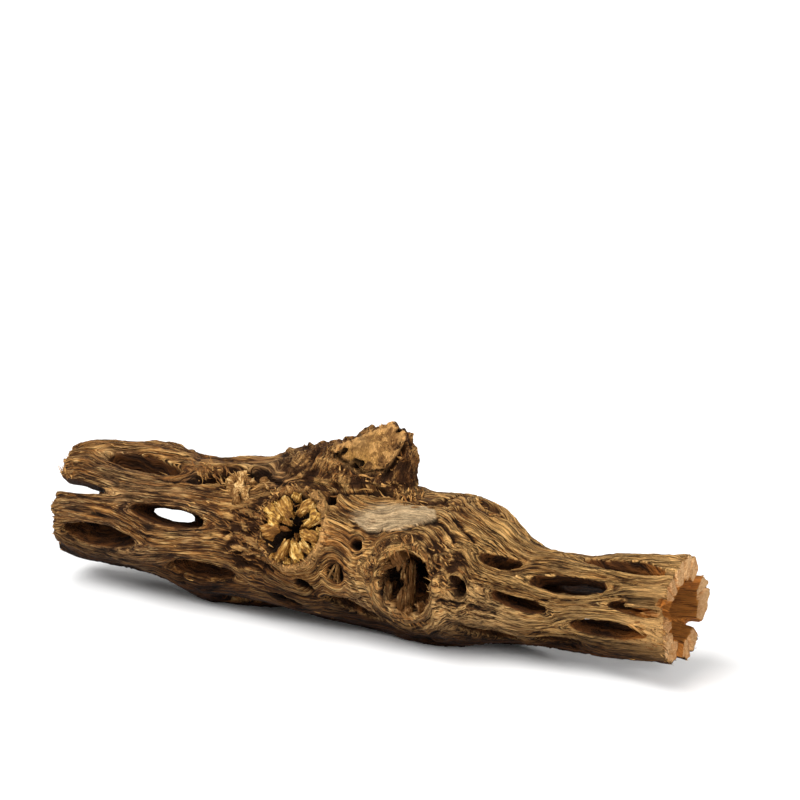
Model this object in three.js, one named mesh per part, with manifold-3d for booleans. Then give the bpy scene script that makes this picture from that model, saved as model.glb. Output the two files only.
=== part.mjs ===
// Cholla cactus skeleton: the dry woody net left when a limb of jumping cholla has lost its flesh.
// One length of limb, sawn at both ends, lying on its side. Millimetres, +X along the limb, +Z up.
import * as THREE from "three";
import { mergeVertices } from "three/addons/utils/BufferGeometryUtils.js";
import Module from "manifold-3d";

const wasm = await Module();
wasm.setup();

// The limb's length, from the ragged old cut to the clean saw cut
const farEnd = -0.3;
const sawnEnd = 152;

// Outline of the limb: place along it, radius of the wood, height of the centreline
const outline = [
  [-2, 12.2, 18.0],
  [0, 13.0, 18.1],
  [5, 14.3, 18.4],
  [20, 15.3, 18.2],
  [40, 16.0, 17.9],
  [60, 16.3, 18.0],
  [80, 16.4, 17.4],
  [90, 16.3, 16.5],
  [99, 16.3, 16.6],
  [105, 15.2, 16.1],
  [110, 13.1, 14.5],
  [115, 11.8, 13.7],
  [122, 11.2, 13.9],
  [130, 10.9, 14.7],
  [140, 11.3, 15.6],
  [153, 11.9, 16.6],
];

// The pith hollow: place along the limb, radius
const pith = [
  [-8, 6.8],
  [6, 6.2],
  [30, 5.4],
  [60, 5.6],
  [90, 5.6],
  [112, 5.0],
  [128, 5.2],
  [144, 6.4],
  [160, 6.9],
];

// Where the wood stops at the ground, in the outline's own heights
const groundHeight = 0.8;

// How finely the bark side is drawn
const ringsAlong = 42;
const sidesAround = 44;
const windowSides = 10;
const pitSides = 7;
const knotSides = 20;

// Windows in the net on the side that is seen first. Angle 0 faces -Y and 90 faces up.
// at: middle along the limb, angle: middle round it, long and wide: half sizes at the mouth,
// turn: degrees that the window climbs from its left tip to its right tip
const frontWindows = [
  { at: 21, angle: 67, long: 11.2, wide: 3.1, turn: -10 },
  { at: 1.5, angle: 31, long: 14.5, wide: 1.9, turn: -3 },
  { at: 31.5, angle: 18, long: 10.8, wide: 2.4, turn: 0 },
  { at: 12.8, angle: -16, long: 11.2, wide: 3.4, turn: 8 },
  { at: 40.5, angle: -29, long: 9.8, wide: 3.0, turn: 4 },
  { at: 35.5, angle: 96, long: 6, wide: 1.4, turn: -4 },
  { at: 78.5, angle: -38, long: 7.4, wide: 2.7, turn: -15 },
  { at: 110.5, angle: -39, long: 7, wide: 2.3, turn: -10 },
  { at: 117.5, angle: 8, long: 7.2, wide: 1.7, turn: -12 },
  { at: 111.5, angle: 52, long: 4.8, wide: 1.8, turn: 16 },
  { at: 128, angle: 40, long: 10.2, wide: 2.1, turn: -2 },
  { at: 139, angle: 76, long: 12.2, wide: 2.5, turn: -24 },
  { at: 149.5, angle: 19, long: 13, wide: 1.8, turn: 4 },
  { at: 138.5, angle: -16, long: 9.8, wide: 2.5, turn: -4 },
];

// Windows on the sides that lie away and below, a column at a time, each column a half step on
const rearColumns = [
  { angle: 116, first: 6, step: 29, long: 9.6, wide: 2.6, count: 3 },
  { angle: 158, first: -5, step: 28.5, long: 10.2, wide: 2.8, count: 4 },
  { angle: 203, first: 19, step: 29, long: 9.8, wide: 2.9, count: 3 },
  { angle: 247, first: 3, step: 29, long: 10, wide: 3.0, count: 4 },
  { angle: 294, first: 21, step: 30, long: 10, wide: 2.9, count: 2 },
];
const narrowColumns = [
  { angle: 112, first: 122, step: 27, long: 9, wide: 1.9, count: 1 },
  { angle: 143, first: 108, step: 42, long: 9, wide: 2.0, count: 2 },
  { angle: 168, first: 125, step: 26, long: 9.4, wide: 2.1, count: 1 },
  { angle: 222, first: 126, step: 29, long: 9.4, wide: 1.9, count: 2 },
  { angle: 252, first: 126, step: 26, long: 9, wide: 2.0, count: 1 },
  { angle: 286, first: 112, step: 38, long: 8.6, wide: 1.8, count: 2 },
  { angle: 318, first: 126, step: 26, long: 6, wide: 1.5, count: 1 },
  { angle: 199, first: 98, step: 30, long: 8.5, wide: 2.2, count: 1 },
];

// Small pits and the shallow torn places, blind: depth is how far they go below the bark side
const pits = [
  { at: 43, angle: 62, long: 7.6, wide: 1.7, turn: 18, depth: 5.5 },
  { at: 51.5, angle: 67, long: 2.6, wide: 2.4, turn: 0, depth: 4 },
  { at: 72, angle: 54, long: 1.3, wide: 1.2, turn: 0, depth: 3 },
  { at: 81, angle: 24, long: 1.5, wide: 1.4, turn: 0, depth: 3.5 },
  { at: 76, angle: -2, long: 2.1, wide: 2.3, turn: 0, depth: 4 },
  { at: 68, angle: -19, long: 2.2, wide: 1.3, turn: -4, depth: 3.5 },
  { at: 62, angle: -39, long: 3.3, wide: 1.2, turn: -8, depth: 3.5 },
  { at: 105.5, angle: 9, long: 1.5, wide: 2.2, turn: 0, depth: 5 },
  { at: 104, angle: 98, long: 3.8, wide: 2.6, turn: 6, depth: 2.6 },
];

// The sawn knot with the star crack, and the hollow knot whose heart has rotted out
const starKnot = { at: 65, angle: 26, radius: 7.2, rise: 1.7, wedges: 6 };
const hollowKnot = { at: 93.5, angle: 4, long: 6.2, wide: 7.6, turn: 0, rise: 1.9, ring: 11.5 };

// Low swellings under the limb that it rests on
const feet = [
  { at: 43, angle: -89, along: 12, across: 9, rise: 2.5 },
  { at: 94, angle: -90, along: 12, across: 9, rise: 0.5 },
];

// The torn branch stump on top: place along the limb, height of its ridge, half thickness, lean
const stump = [
  [45, 31.5, 3.0, 1.0],
  [52, 35.6, 5.0, 1.0],
  [58, 37.6, 6.4, 0.6],
  [64, 40.3, 7.0, 0.4],
  [70, 43.0, 7.0, 0.2],
  [75, 45.2, 6.4, 0.2],
  [79, 46.2, 5.6, 0.4],
  [82.5, 47.4, 4.4, 0.4],
  [85, 46.0, 3.2, 0.6],
  [86.5, 41.5, 2.4, 0.8],
];

const woodColour = 0xa67c4e;
const woodRoughness = 0.9;

const degrees = Math.PI / 180;

// A repeatable wobble between -1 and 1 for a whole number
function wobble(seed) {
  const x = Math.sin(seed * 127.1 + 311.7) * 43758.5453;
  return 2 * (x - Math.floor(x)) - 1;
}

function smoothStep(from, to, x) {
  const t = Math.min(1, Math.max(0, (x - from) / (to - from)));
  return t * t * (3 - 2 * t);
}

// A value read from a table of rows by its first column, along a smooth curve through the rows
function readTable(table, x, column) {
  const last = table.length - 1;
  if (x <= table[0][0]) return table[0][column];
  if (x >= table[last][0]) return table[last][column];
  let i = 0;
  while (table[i + 1][0] < x) i += 1;
  const slope = (k) => {
    const a = table[Math.max(0, k - 1)];
    const b = table[Math.min(last, k + 1)];
    return (b[column] - a[column]) / (b[0] - a[0]);
  };
  const [p, q] = [table[i], table[i + 1]];
  const h = q[0] - p[0];
  const t = (x - p[0]) / h;
  const t2 = t * t;
  const t3 = t2 * t;
  return (
    (2 * t3 - 3 * t2 + 1) * p[column] +
    (t3 - 2 * t2 + t) * h * slope(i) +
    (3 * t2 - 2 * t3) * q[column] +
    (t3 - t2) * h * slope(i + 1)
  );
}

const limbRadius = (along) => readTable(outline, along, 1);
const limbHeight = (along) => readTable(outline, along, 2);

// A point of the limb from its place along it, its angle round it and its distance from the centreline
function limbPoint(along, angle, distance) {
  const a = angle * degrees;
  return new THREE.Vector3(
    along,
    -distance * Math.cos(a),
    limbHeight(along) + distance * Math.sin(a),
  );
}

// Every window through the wood: the listed ones and the columns laid out behind
function allWindows() {
  const windows = [...frontWindows];
  [...rearColumns, ...narrowColumns].forEach((column, c) => {
    for (let i = 0; i < column.count; i += 1) {
      const seed = 10 * c + i;
      windows.push({
        at: column.first + column.step * i + 1.2 * wobble(seed),
        angle: column.angle + 2.5 * wobble(seed + 0.3),
        long: column.long * (1 + 0.06 * wobble(seed + 0.5)),
        wide: column.wide * (1 + 0.08 * wobble(seed + 0.7)),
        turn: 6 * wobble(seed + 0.9),
      });
    }
  });
  return windows;
}

// Smallest turn from one angle to another, in degrees
function turnBetween(from, to) {
  return ((((to - from) % 360) + 540) % 360) - 180;
}

// How far a place on the bark side lies from a feature's middle: along it, and across it in mm
function offsetFrom(feature, along, angle) {
  const u = along - feature.at;
  const middle = feature.angle + ((feature.turn ?? 0) * u) / (2 * (feature.long ?? 1));
  const w = turnBetween(middle, angle) * degrees * limbRadius(along);
  return [u, w];
}

// The bark side dips to each window's mouth, which rounds the strands between the windows
const lipReach = 2.2;
const lipDrop = 1.3;
function lipDip(feature, along, angle) {
  const [u, w] = offsetFrom(feature, along, angle);
  const q = Math.hypot(u / (feature.long + lipReach), w / (feature.wide + lipReach));
  return -lipDrop * (1 - smoothStep(0.55, 1.25, q));
}

// The swirl of raised wood round the hollow knot, and the boss that carries the starred one
function knotRise(along, angle) {
  const [u, w] = offsetFrom(hollowKnot, along, angle);
  const q = Math.hypot(u / hollowKnot.ring, w / (hollowKnot.ring + 1));
  const swirl = hollowKnot.rise * Math.exp(-(((q - 0.72) / 0.3) ** 2));
  const [v, t] = offsetFrom(starKnot, along, angle);
  const p = Math.hypot(v, t) / starKnot.radius;
  const boss = 0.9 * (1 - smoothStep(0.9, 1.9, p));
  return swirl + boss;
}

function footRise(along, angle) {
  return feet.reduce((sum, foot) => {
    const [u, w] = offsetFrom(foot, along, angle);
    return sum + foot.rise * Math.exp(-((u / foot.along) ** 2) - (w / foot.across) ** 2);
  }, 0);
}

// Long low strands and a slow unevenness over the whole limb
function strandRise(along, angle) {
  const a = angle * degrees;
  const drift = 0.5 * Math.sin(along * 0.11) + 0.35 * Math.sin(along * 0.047 + 1.3);
  return (
    0.22 * Math.sin(13 * a + 2 * drift) +
    0.3 * Math.sin(3 * a + along * 0.07 + 0.6) +
    0.22 * Math.sin(5 * a - along * 0.13)
  );
}

function barkRadius(windows, along, angle) {
  const dips = windows.map((window) => lipDip(window, along, angle));
  return (
    limbRadius(along) +
    Math.min(...dips) +
    knotRise(along, angle) +
    footRise(along, angle) +
    strandRise(along, angle)
  );
}

// A closed mesh from equal rings of points, each end filled from its middle, facing out
function loft(rings) {
  const sides = rings[0].length;
  const middle = (ring) =>
    ring.reduce((sum, p) => sum.add(p), new THREE.Vector3()).divideScalar(sides);
  const points = [...rings.flat(), middle(rings[0]), middle(rings[rings.length - 1])];
  const index = [];
  for (let i = 0; i + 1 < rings.length; i += 1) {
    for (let j = 0; j < sides; j += 1) {
      const k = (j + 1) % sides;
      const [a, b] = [i * sides + j, i * sides + k];
      const [c, d] = [a + sides, b + sides];
      index.push(a, b, d, a, d, c);
    }
  }
  const firstMiddle = rings.length * sides;
  const lastRing = firstMiddle - sides;
  for (let j = 0; j < sides; j += 1) {
    const k = (j + 1) % sides;
    index.push(k, j, firstMiddle);
    index.push(lastRing + j, lastRing + k, firstMiddle + 1);
  }
  const geometry = new THREE.BufferGeometry().setFromPoints(points).setIndex(index);
  return facingOut(geometry);
}

// The same mesh with its faces turned round if they point in
function facingOut(geometry) {
  const p = geometry.getAttribute("position");
  const index = geometry.getIndex().array;
  const [a, b, c] = [new THREE.Vector3(), new THREE.Vector3(), new THREE.Vector3()];
  let volume = 0;
  for (let i = 0; i < index.length; i += 3) {
    a.fromBufferAttribute(p, index[i]);
    b.fromBufferAttribute(p, index[i + 1]);
    c.fromBufferAttribute(p, index[i + 2]);
    volume += a.dot(b.cross(c));
  }
  if (volume > 0) return geometry;
  for (let i = 0; i < index.length; i += 3) {
    [index[i + 1], index[i + 2]] = [index[i + 2], index[i + 1]];
  }
  return geometry;
}

// The solid that a closed mesh encloses
function solid(geometry) {
  const merged = mergeVertices(stripped(geometry.clone()), 1e-4);
  return new wasm.Manifold(
    new wasm.Mesh({
      numProp: 3,
      vertProperties: new Float32Array(merged.getAttribute("position").array),
      triVerts: new Uint32Array(merged.getIndex().array),
    }),
  );
}

// The limb as a full rod with its bark side drawn, still without its hollow
function limbRod(windows) {
  const rings = [];
  for (let i = 0; i <= ringsAlong; i += 1) {
    const place = farEnd + ((sawnEnd - farEnd) * i) / ringsAlong;
    const ring = [];
    for (let j = 0; j < sidesAround; j += 1) {
      const angle = (360 * j) / sidesAround;
      const uneven = 1 - smoothStep(0, 6, place - farEnd);
      const ragged = 1.0 * Math.sin(2 * angle * degrees + 1) + 0.35 * wobble(j);
      const along = place + uneven * ragged;
      ring.push(limbPoint(along, angle, barkRadius(windows, place, angle)));
    }
    rings.push(ring);
  }
  return loft(rings);
}

// The hollow where the pith was, open at both ends
function pithHollow() {
  const rings = [];
  const sides = 10;
  const step = 12;
  for (let along = pith[0][0]; along <= pith[pith.length - 1][0]; along += step) {
    const ring = [];
    for (let j = 0; j < sides; j += 1) {
      const uneven = 0.35 * wobble(j + along) + 0.3 * Math.sin(3 * j + along * 0.2);
      ring.push(limbPoint(along, (360 * j) / sides, readTable(pith, along, 1) + uneven));
    }
    rings.push(ring);
  }
  return loft(rings);
}

// A tool with a leaf-shaped outline that runs in towards the centreline, one ring for each depth.
// levels: height over the limb's mean surface, or a distance from the centreline as "inner", and
// how much of the window's half length and half width is open there
const leafPoint = 0.18;
function windowTool(window, levels, sides, seed) {
  const rings = levels.map(({ height, inner, long, wide }) => {
    const ring = [];
    for (let j = 0; j < sides; j += 1) {
      const t = (2 * Math.PI * j) / sides;
      const ragged = 1 + 0.07 * wobble(seed * 31 + j);
      const u = window.long * long * Math.cos(t) * ragged;
      const w = window.wide * wide * Math.sin(t) * Math.abs(Math.sin(t)) ** leafPoint * ragged;
      const along = window.at + u;
      const mean = limbRadius(along);
      const angle = window.angle + (window.turn * u) / (2 * window.long) + w / mean / degrees;
      ring.push(limbPoint(along, angle, inner ?? mean + height));
    }
    return ring;
  });
  return loft(rings);
}

const throughLevels = [
  { height: 5, long: 1.5, wide: 1.5 },
  { height: -0.9, long: 1, wide: 1 },
  { inner: 3, long: 0.75, wide: 2.1 },
];

const knotLevels = [
  { height: 6, long: 1.5, wide: 1.5 },
  { height: 0.6, long: 1, wide: 1 },
  { height: -3, long: 0.9, wide: 0.95 },
  { inner: 4, long: 0.6, wide: 0.8 },
];

function pitLevels(depth) {
  return [
    { height: 5, long: 1.9, wide: 1.9 },
    { height: -0.4, long: 1, wide: 1 },
    { height: -depth, long: 0.45, wide: 0.45 },
  ];
}

// Points of a feature that faces out from the limb: x along it, y round it, z outwards from the centre
function facingFrame(feature, distance) {
  const origin = limbPoint(feature.at, feature.angle, distance);
  const outward = limbPoint(feature.at, feature.angle, distance + 1).sub(origin);
  const along = new THREE.Vector3(1, 0, 0);
  const round = new THREE.Vector3().crossVectors(outward, along);
  return new THREE.Matrix4().makeBasis(along, round, outward).setPosition(origin);
}

// The sawn knot: a low button with a ring round it, parted by its star of cracks
function starKnotButton() {
  const { radius, rise } = starKnot;
  const profile = [
    [0, -4],
    [radius * 1.02, -4],
    [radius * 1.25, rise - 1.3],
    [radius * 1.08, rise - 0.3],
    [radius * 0.94, rise - 0.8],
    [radius * 0.74, rise],
    [radius * 0.3, rise],
    [0, rise - 0.3],
  ].map(([x, y]) => new THREE.Vector2(x, y));
  const button = stripped(new THREE.LatheGeometry(profile, knotSides).rotateX(Math.PI / 2));
  const place = button.getAttribute("position");
  for (let i = 0; i < place.count; i += 1) {
    const turn = Math.round((Math.atan2(place.getY(i), place.getX(i)) / 2 / Math.PI) * knotSides);
    const uneven = 1 + 0.05 * wobble((turn + knotSides) % knotSides);
    place.setXY(i, place.getX(i) * uneven, place.getY(i) * uneven);
  }
  const frame = facingFrame(starKnot, limbRadius(starKnot.at));
  return facingOut(mergeVertices(button, 1e-3).applyMatrix4(frame));
}

// A geometry with only its points and faces left
function stripped(geometry) {
  geometry.deleteAttribute("normal");
  geometry.deleteAttribute("uv");
  return geometry;
}

// One crack of the star: a thin tapered wedge from the knot's middle outwards
const crackTip = 0.35;
function crackWedge(turn, length, width, depth) {
  const half = width / 2;
  const shape = new THREE.Shape()
    .moveTo(-half, -half)
    .lineTo(length, -half * crackTip)
    .lineTo(length, half * crackTip)
    .lineTo(-half, half);
  const geometry = new THREE.ExtrudeGeometry(shape, { depth, bevelEnabled: false });
  geometry.translate(0, 0, starKnot.rise + 0.6 - depth).rotateZ(turn * degrees);
  return geometry.applyMatrix4(facingFrame(starKnot, limbRadius(starKnot.at)));
}

// The star: one long crack across the knot, and finer ones that part its wedges
const longCrack = { turns: [228, 62], reach: 0.83, width: 1.6, depth: 3.4 };
const fineCrack = { reach: 0.72, width: 0.7, depth: 1.7, drift: 9 };
function starCracks() {
  const { radius, wedges } = starKnot;
  const { reach, width, depth } = longCrack;
  const tools = longCrack.turns.map((turn) => crackWedge(turn, radius * reach, width, depth));
  for (let i = 0; i < wedges; i += 1) {
    const turn = (360 * i) / wedges + fineCrack.drift * wobble(i);
    tools.push(crackWedge(turn, radius * fineCrack.reach, fineCrack.width, fineCrack.depth));
  }
  return tools;
}

// The torn stump of a side branch: a fan of wood that rises along the top and breaks off short
const stumpBluntness = 0.55;
function stumpFan() {
  const sides = 18;
  const root = 22;
  const rings = stump.map(([along, top, half, lean], i) => {
    const ring = [];
    for (let j = 0; j < sides; j += 1) {
      const t = (2 * Math.PI * j) / sides;
      const up = Math.sin(t);
      const across = Math.sign(Math.cos(t)) * Math.abs(Math.cos(t)) ** stumpBluntness;
      const torn = up > 0.5 ? 0.8 * wobble(7 * i + j) : 0.25 * wobble(5 * i + j);
      const middle = (top + root) / 2;
      ring.push(
        new THREE.Vector3(
          along + 0.5 * wobble(3 * i + 2 * j),
          lean + half * across * (1 + 0.25 * Math.max(0, -up)) + 0.3 * torn,
          middle + ((top - root) / 2) * up + torn,
        ),
      );
    }
    return ring;
  });
  return loft(rings);
}

// The dished face where the branch tore away, and the pits beside it
function stumpDish() {
  const dish = new THREE.SphereGeometry(1, 14, 10);
  dish.scale(9.2, 3.4, 5.6).rotateY(-26 * degrees);
  return dish.translate(77, -7.0, 42.4);
}

// A lump of rotten heartwood left inside the hollow knot
const lump = { at: hollowKnot.at - 3.6, angle: hollowKnot.angle + 4, radius: 3.4, distance: 10.4 };
function heartLump() {
  const geometry = new THREE.IcosahedronGeometry(lump.radius, 1);
  geometry.scale(0.75, 1.5, 1.2);
  return geometry.applyMatrix4(facingFrame(lump, lump.distance));
}

// The thin strand that stands inside the slot at the sawn end
const sliver = { at: sawnEnd - 0.6, angle: 18, long: 9, wide: 1.7, deep: 5, distance: 8.6 };
function slotStrand() {
  const { long, wide, deep } = sliver;
  const strand = new THREE.BoxGeometry(long, wide, deep);
  strand.translate(-long / 2, 0, 0);
  return strand.applyMatrix4(facingFrame(sliver, sliver.distance));
}

// Everything under the level that the limb rests on, cut away to leave its flats
function groundBlock() {
  const deep = 20;
  const block = new THREE.BoxGeometry(2 * sawnEnd, sawnEnd, deep);
  return block.translate(sawnEnd / 2, 0, groundHeight - deep / 2);
}

// The whole wood: rod, knots and stump joined, then the hollow, windows, pits and cracks cut
const hollowKnotSides = 16;
const hollowKnotSeed = 77;
const pitSeed = 50;
function skeleton() {
  const windows = allWindows();
  let wood = solid(limbRod(windows));
  wood = wood.add(solid(starKnotButton())).add(solid(stumpFan()));
  wood = wood.subtract(solid(stumpDish()));
  wood = wood.subtract(solid(windowTool(hollowKnot, knotLevels, hollowKnotSides, hollowKnotSeed)));
  wood = wood.add(solid(heartLump()));
  wood = wood.subtract(solid(pithHollow()));
  windows.forEach((window, i) => {
    wood = wood.subtract(solid(windowTool(window, throughLevels, windowSides, i)));
  });
  pits.forEach((pit, i) => {
    wood = wood.subtract(solid(windowTool(pit, pitLevels(pit.depth), pitSides, pitSeed + i)));
  });
  starCracks().forEach((tool) => {
    wood = wood.subtract(solid(tool));
  });
  wood = wood.add(solid(slotStrand()));
  return wood.subtract(solid(groundBlock())).getMesh();
}

function meshGeometry(mesh) {
  const geometry = new THREE.BufferGeometry();
  geometry.setAttribute("position", new THREE.BufferAttribute(mesh.vertProperties, 3));
  geometry.setIndex(new THREE.BufferAttribute(mesh.triVerts, 1));
  return geometry;
}

// The wood, moved so that the middle of its underside is the part's origin
function placedSkeleton() {
  const geometry = meshGeometry(skeleton());
  geometry.computeBoundingBox();
  const { min, max } = geometry.boundingBox;
  geometry.translate(-(min.x + max.x) / 2, -(min.y + max.y) / 2, -min.z);
  const material = new THREE.MeshStandardMaterial({
    color: woodColour,
    roughness: woodRoughness,
    metalness: 0,
  });
  const mesh = new THREE.Mesh(geometry, material);
  mesh.name = "cholla_skeleton";
  return mesh;
}

const part = new THREE.Group();
part.add(placedSkeleton());

export default part;
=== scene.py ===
import math
from types import SimpleNamespace
import bpy
import numpy as np
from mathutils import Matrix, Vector


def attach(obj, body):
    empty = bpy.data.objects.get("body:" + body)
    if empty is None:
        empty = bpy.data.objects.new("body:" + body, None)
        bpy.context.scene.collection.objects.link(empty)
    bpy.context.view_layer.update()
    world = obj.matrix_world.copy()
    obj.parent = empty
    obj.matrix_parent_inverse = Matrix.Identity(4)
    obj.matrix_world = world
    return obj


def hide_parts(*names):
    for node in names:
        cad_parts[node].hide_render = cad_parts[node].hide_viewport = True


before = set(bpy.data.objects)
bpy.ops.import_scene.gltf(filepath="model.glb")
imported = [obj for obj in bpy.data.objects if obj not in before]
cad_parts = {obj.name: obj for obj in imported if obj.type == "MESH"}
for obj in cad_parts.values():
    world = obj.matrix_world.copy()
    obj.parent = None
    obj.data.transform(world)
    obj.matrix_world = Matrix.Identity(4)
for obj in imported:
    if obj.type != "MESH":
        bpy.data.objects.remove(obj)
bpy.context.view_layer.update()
scene = bpy.context.scene
mm = 0.001
bpy.ops.object.select_all(action="DESELECT")

# Camera, from the side with the two large knots and a little above
camera = {
    "place": (0.39049, -0.68836, 0.28123),
    "turn": (73.802, 0.0, 29.0),
    "lens": 171.26,
}
bpy.ops.object.camera_add(location=camera["place"], rotation=[math.radians(a) for a in camera["turn"]])
scene.camera = bpy.context.object
scene.camera.data.lens = camera["lens"]
scene.camera.data.sensor_width = 36.0
scene.camera.data.clip_end = 50.0
print("camera placed")

# The limb's own measures, in millimetres and degrees. A place is given by its distance along the limb
# from the far end, and by its angle around it: 0 faces the near side, 90 is up
limb = {
    "shift": (-75.188, 1.2934, -0.8),
    "sawnAt": 152.0,
    "grainRadius": 15.0,
    "outline": [  # along, radius, height of the middle
        (-2, 12.2, 18), (0, 13, 18.1), (5, 14.3, 18.4), (20, 15.3, 18.2), (40, 16, 17.9),
        (60, 16.3, 18), (80, 16.4, 17.4), (90, 16.3, 16.5), (99, 16.3, 16.6), (105, 15.2, 16.1),
        (110, 13.1, 14.5), (115, 11.8, 13.7), (122, 11.2, 13.9), (130, 10.9, 14.7), (140, 11.3, 15.6),
        (153, 11.9, 16.6),
    ],
    "pith": [  # along, radius of the hollow
        (-8, 6.8), (6, 6.2), (30, 5.4), (60, 5.6), (90, 5.6), (112, 5), (128, 5.2), (144, 6.4), (160, 6.9),
    ],
    "frontWindows": [  # along, angle, half length, half width, turn
        (21, 67, 11.2, 3.1, -10), (1.5, 31, 14.5, 1.9, -3), (31.5, 18, 10.8, 2.4, 0),
        (12.8, -16, 11.2, 3.4, 8), (40.5, -29, 9.8, 3, 4), (35.5, 96, 6, 1.4, -4),
        (78.5, -38, 7.4, 2.7, -15), (110.5, -39, 7, 2.3, -10), (117.5, 8, 7.2, 1.7, -12),
        (111.5, 52, 4.8, 1.8, 16), (128, 40, 10.2, 2.1, -2), (139, 76, 12.2, 2.5, -24),
        (149.5, 19, 13, 1.8, 4), (138.5, -16, 9.8, 2.5, -4),
    ],
    "columns": [  # windows in the back and below: angle, first, step, half length, half width, count
        (116, 6, 29, 9.6, 2.6, 3), (158, -5, 28.5, 10.2, 2.8, 4), (203, 19, 29, 9.8, 2.9, 3),
        (247, 3, 29, 10, 3, 4), (294, 21, 30, 10, 2.9, 2),
        (112, 122, 27, 9, 1.9, 1), (143, 108, 42, 9, 2, 2), (168, 125, 26, 9.4, 2.1, 1),
        (222, 126, 29, 9.4, 1.9, 2), (252, 126, 26, 9, 2, 1), (286, 112, 38, 8.6, 1.8, 2),
        (318, 126, 26, 6, 1.5, 1), (199, 98, 30, 8.5, 2.2, 1),
    ],
    "pits": [  # as the windows
        (43, 62, 7.6, 1.7, 18), (51.5, 67, 2.6, 2.4, 0), (72, 54, 1.3, 1.2, 0), (81, 24, 1.5, 1.4, 0),
        (76, -2, 2.1, 2.3, 0), (68, -19, 2.2, 1.3, -4), (62, -39, 3.3, 1.2, -8), (105.5, 9, 1.5, 2.2, 0),
        (104, 98, 3.8, 2.6, 6),
    ],
    "starKnot": (65.0, 26.0, 7.6),  # along, angle, radius
    "hollowKnot": (93.5, 4.0, 7.4),
    "stumpFoot": (80.0, 96.0, 6.5),
}


def wobble(seed):  # from -1 to 1, the same draw that the limb's solid uses
    value = math.sin(seed * 127.1 + 311.7) * 43758.5453
    return 2 * (value - math.floor(value)) - 1


def openings():
    found = list(limb["frontWindows"]) + list(limb["pits"])
    for column, (angle, first, step, long, wide, count) in enumerate(limb["columns"]):
        for i in range(count):
            seed = 10 * column + i
            found.append((
                first + step * i + 1.2 * wobble(seed),
                angle + 2.5 * wobble(seed + 0.3),
                long * (1 + 0.06 * wobble(seed + 0.5)),
                wide * (1 + 0.08 * wobble(seed + 0.7)),
                6 * wobble(seed + 0.9),
            ))
    return found


def column(rows, index, places):
    return np.interp(places, [row[0] for row in rows], [row[index] for row in rows])


def wrapped(angle):
    return (angle + 180.0) % 360.0 - 180.0


def limbPlaces(points):  # metres in the part's frame to along, distance from the middle, angle, bark radius
    local = points / mm - np.array(limb["shift"])
    along = local[:, 0]
    radius = column(limb["outline"], 1, along)
    up = local[:, 2] - column(limb["outline"], 2, along)
    out = -local[:, 1]
    return along, np.hypot(out, up), np.degrees(np.arctan2(up, out)), radius


def limbPoint(along, angle, distance):  # back to metres in the part's frame
    height = float(column(limb["outline"], 2, along))
    turn = math.radians(angle)
    shift = limb["shift"]
    return Vector((
        (along + shift[0]) * mm,
        (-distance * math.cos(turn) + shift[1]) * mm,
        (height + distance * math.sin(turn) + shift[2]) * mm,
    ))


def outward(angle):
    turn = math.radians(angle)
    return Vector((0.0, -math.cos(turn), math.sin(turn)))


def outwardEach(angle):
    turn = np.radians(angle)
    return np.stack([np.zeros_like(turn), -np.cos(turn), np.sin(turn)], 1)


def aroundFrom(place, along, angle, radius):  # millimetres along and around from a place on the bark
    return along - place[0], wrapped(angle - place[1]) * np.radians(1.0) * radius


def grainAngle(along, angle, radius):  # fibres part before each hole and knot and close again behind it
    perDegree = math.radians(1.0) * radius
    bent = np.zeros_like(along)
    for at, middle, long, wide, turn in openings():
        u = along - at
        half = wide * np.clip(1 - (u / (1.3 * long)) ** 2, 0, None) ** 0.8
        gap = wrapped(angle - middle - turn * u / (2 * long)) * perDegree
        bent += np.tanh(gap / 0.3) * half * np.exp(-np.clip(np.abs(gap) - half, 0, None) / (2.2 * wide))
    for name in ("starKnot", "hollowKnot", "stumpFoot"):
        at, middle, size = limb[name]
        u = along - at
        half = np.sqrt(np.clip(size ** 2 - u ** 2, 0, None))
        gap = wrapped(angle - middle) * perDegree
        bent += np.tanh(gap / 0.5) * half * np.exp(-np.clip(np.abs(gap) - half, 0, None) / (0.9 * size))
    return angle - bent / perDegree


def softNoise(points, seed):  # smooth noise from -1 to 1
    cell = np.floor(points).astype(np.int64)
    part = points - cell
    part = part ** 3 * (part * (part * 6 - 15) + 10)
    total = np.zeros(len(points))
    for dx, dy, dz in np.ndindex(2, 2, 2):
        mixed = (cell[:, 0] + dx) * 73856093
        mixed ^= (cell[:, 1] + dy) * 19349663
        mixed ^= (cell[:, 2] + dz) * 83492791
        mixed ^= seed * 2654435
        mixed = (mixed ^ (mixed >> 13)) * 1274126177
        draw = ((mixed ^ (mixed >> 16)) & 65535) / 32767.5 - 1
        share = part[:, 0] if dx else 1 - part[:, 0]
        share = share * (part[:, 1] if dy else 1 - part[:, 1])
        share = share * (part[:, 2] if dz else 1 - part[:, 2])
        total += share * draw
    return total


def noiseAt(seed, x, y, z):
    return softNoise(np.stack([x, y, z], 1), seed)


def bell(value, middle, half):  # 1 at the middle, and falls off on both sides
    return np.exp(-((value - middle) / half) ** 2)


def smoothStep(low, high, value):
    t = np.clip((value - low) / (high - low), 0, 1)
    return t * t * (3 - 2 * t)


def select(piece):
    bpy.ops.object.select_all(action="DESELECT")
    piece.select_set(True)
    bpy.context.view_layer.objects.active = piece


def applied(piece, kind, **settings):
    select(piece)
    bpy.ops.object.modifier_add(type=kind)
    modifier = piece.modifiers[-1]
    for key, value in settings.items():
        setattr(modifier, key, value)
    bpy.ops.object.modifier_apply(modifier=modifier.name)


def joined(pieces, name):
    bpy.ops.object.select_all(action="DESELECT")
    for piece in pieces:
        piece.select_set(True)
    bpy.context.view_layer.objects.active = pieces[0]
    bpy.ops.object.join()
    bpy.context.object.name = name
    return bpy.context.object


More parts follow.
